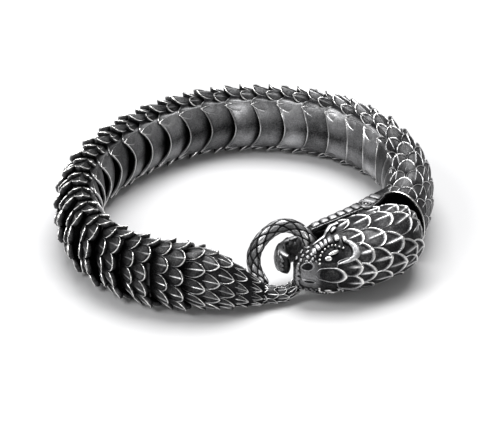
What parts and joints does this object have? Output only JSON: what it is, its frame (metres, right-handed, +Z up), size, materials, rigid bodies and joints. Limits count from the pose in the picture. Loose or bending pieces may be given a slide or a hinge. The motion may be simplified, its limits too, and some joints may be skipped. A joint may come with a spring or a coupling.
{
  "type": "snake bracelet",
  "caption": "Linked metal bracelet shaped as a snake holding its curled tail in its mouth; the scaled head is a sprung clasp lever.",
  "frame": {"origin": "middle of the bracelet's outline, on the surface that it lies on", "axes": "+Z up out of that surface, -Y towards the side with the head and the tail, head at +X"},
  "size_m": [0.0806, 0.0792, 0.0158],
  "materials": {
    "antiqued_steel": "antiqued: dark in the recesses, polished on raised edges"
  },
  "bodies": {
    "bracelet": {"link_01": "antiqued_steel", "link_02": "antiqued_steel", "link_03": "antiqued_steel", "link_04": "antiqued_steel", "link_05": "antiqued_steel", "link_06": "antiqued_steel", "link_07": "antiqued_steel", "link_08": "antiqued_steel", "link_09": "antiqued_steel", "link_10": "antiqued_steel", "link_11": "antiqued_steel", "link_12": "antiqued_steel", "link_13": "antiqued_steel", "link_14": "antiqued_steel", "link_15": "antiqued_steel", "link_16": "antiqued_steel", "link_17": "antiqued_steel", "link_18": "antiqued_steel", "link_19": "antiqued_steel", "link_20": "antiqued_steel", "link_21": "antiqued_steel", "link_22": "antiqued_steel", "tail_and_ring": "antiqued_steel", "neck_and_jaw": "antiqued_steel", "head_rivet": "antiqued_steel"},
    "head": {"head_lever": "antiqued_steel"}
  },
  "joints": [
    {"name": "head_hinge", "type": "hinge", "parent": "bracelet", "child": "head", "pos_m": [0.0253, -0.01715, 0.00788], "axis": [0, 0, 1], "range_deg": [0, 10], "stiffness_Nm_per_rad": 0.2, "springref_deg": -5.73}
  ]
}
